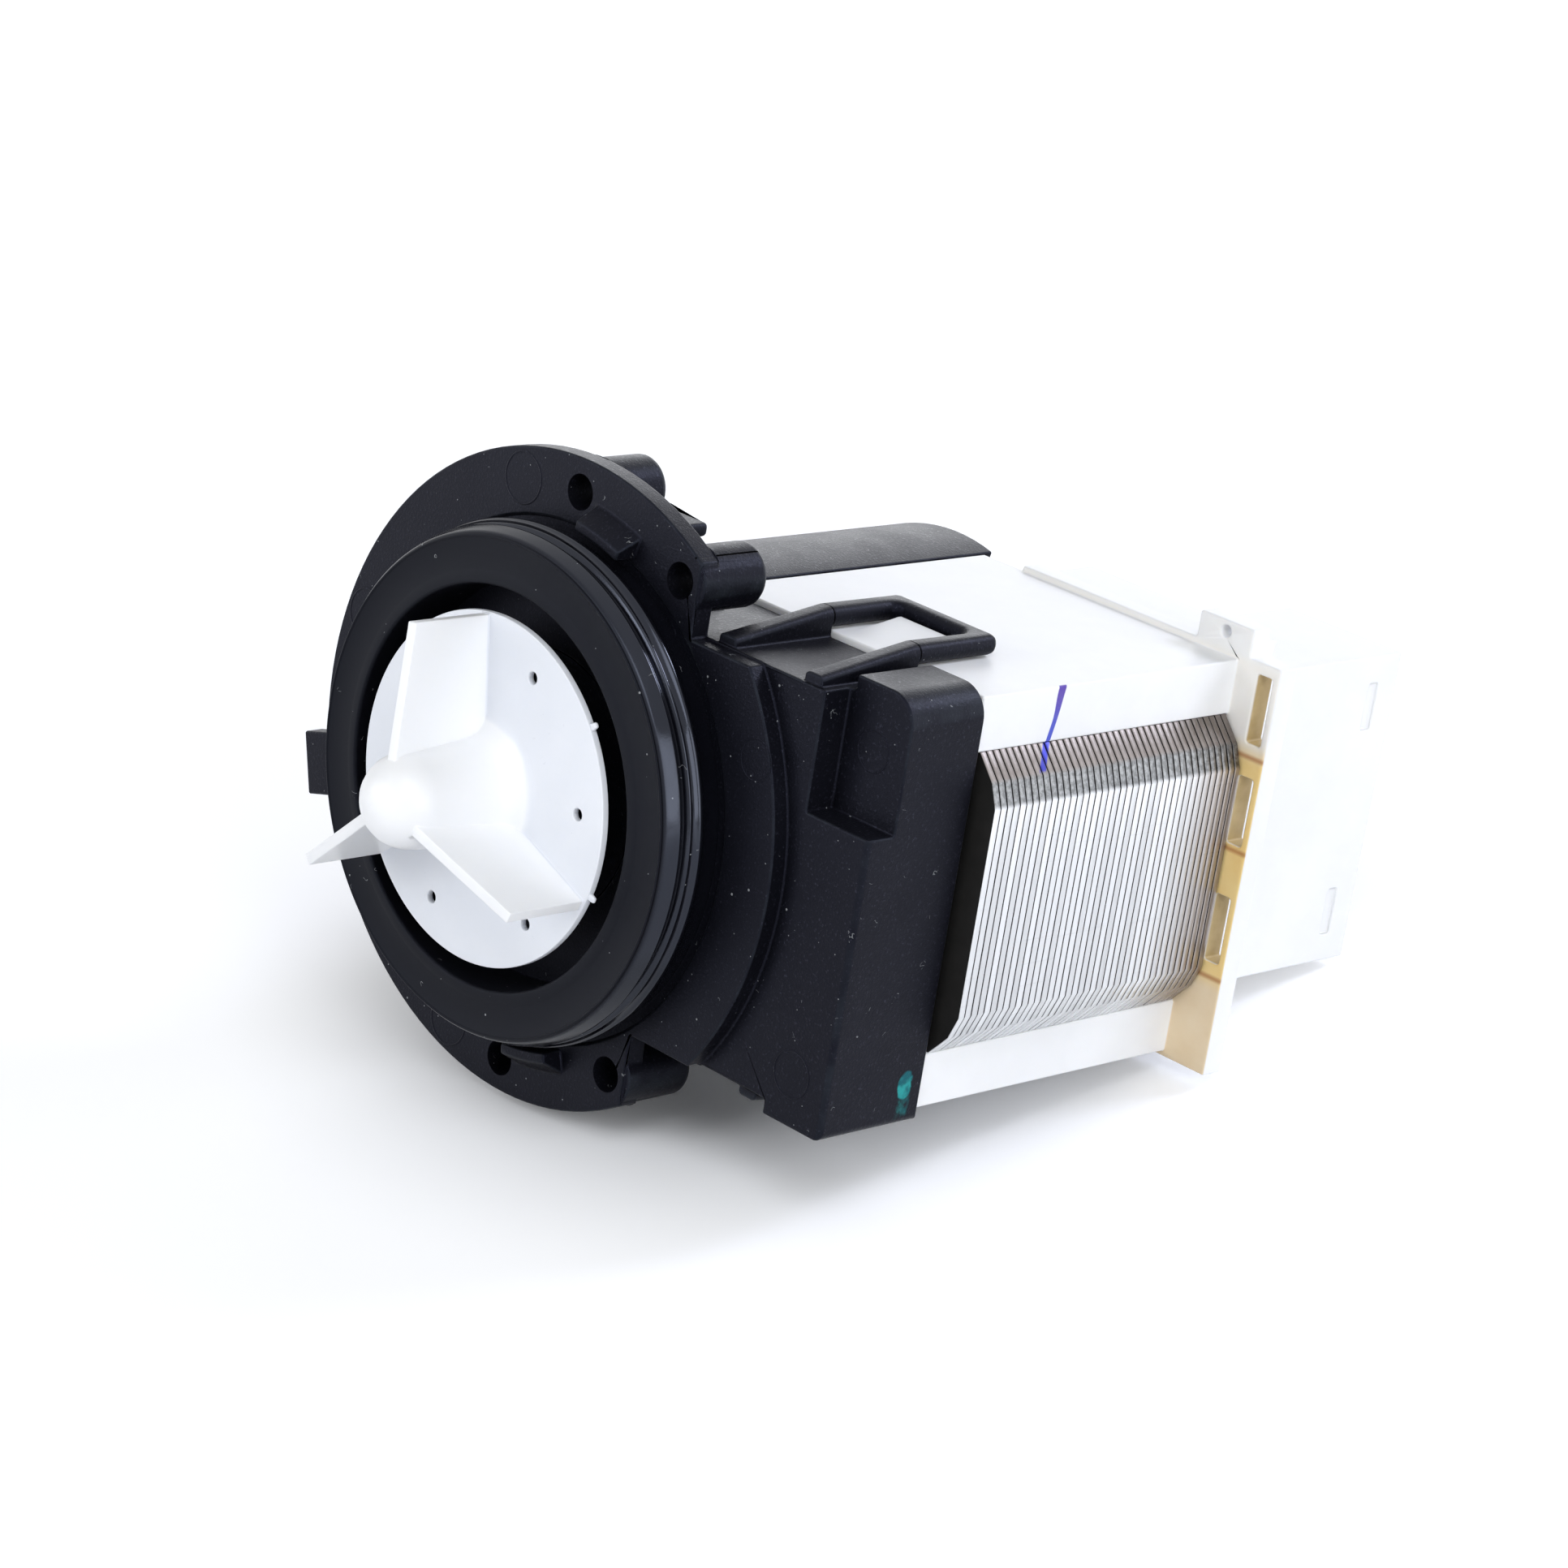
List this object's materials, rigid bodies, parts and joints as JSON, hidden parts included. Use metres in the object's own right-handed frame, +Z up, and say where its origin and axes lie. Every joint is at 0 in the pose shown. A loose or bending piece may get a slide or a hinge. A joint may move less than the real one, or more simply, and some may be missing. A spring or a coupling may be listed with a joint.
{
  "type": "washer drain pump",
  "caption": "Synchronous drain pump with a flanged front housing, bladed impeller, rubber face seal, bare sheet-steel stator and a white coil frame with a rear connector socket.",
  "frame": {"origin": "on the pump axis, in the mounting face of the flange", "axes": "the impeller faces -Y along the pump axis, the stator's yoke faces +X and +Z is up"},
  "size_m": [0.1064, 0.1353, 0.084],
  "materials": {
    "black_plastic": "satin, glass-filled",
    "seal_rubber": "matte moulded rubber",
    "impeller_plastic": "semi-gloss, slightly translucent",
    "white_plastic": "satin",
    "ivory_plastic": "satin",
    "dark_plastic": "satin",
    "sheet_steel": "bare stacked sheets",
    "shaft_steel": "ground",
    "ferrite": "ground ferrite",
    "bronze": "sintered",
    "copper_wire": "enamelled",
    "amber_tape": "thin insulating tape",
    "tinned_brass": "tinned"
  },
  "bodies": {
    "stator": {"front_housing": "black_plastic", "face_seal": "seal_rubber", "front_washer": "ivory_plastic", "rear_washer": "ivory_plastic", "front_bush": "bronze", "front_bush_ring": "seal_rubber", "rear_bush": "bronze", "rear_bush_cup": "seal_rubber", "seal_plate": "black_plastic", "plate_ring": "seal_rubber", "lip_seal": "seal_rubber", "core": "sheet_steel", "upper_bobbin": "ivory_plastic", "lower_bobbin": "ivory_plastic", "upper_winding": "copper_wire", "lower_winding": "copper_wire", "upper_tape": "amber_tape", "lower_tape": "amber_tape", "coil_frame": "white_plastic", "terminal_cover": "white_plastic", "spade_terminals": "tinned_brass", "thermal_protector": "dark_plastic", "link_wire": "copper_wire", "lead_wires": "tinned_brass"},
    "rotor": {"magnet_hub": "ivory_plastic", "magnet": "ferrite"},
    "impeller": {"impeller": "impeller_plastic", "shaft": "shaft_steel", "drive_dog": "ivory_plastic"}
  },
  "joints": [
    {"name": "rotor_spin", "type": "hinge", "parent": "stator", "child": "rotor", "pos_m": [0, 0.04, 0], "axis": [0, 1, 0], "continuous": true},
    {"name": "impeller_play", "type": "hinge", "parent": "rotor", "child": "impeller", "pos_m": [0, 0, 0], "axis": [0, 1, 0], "range_deg": [-108, 108]}
  ]
}
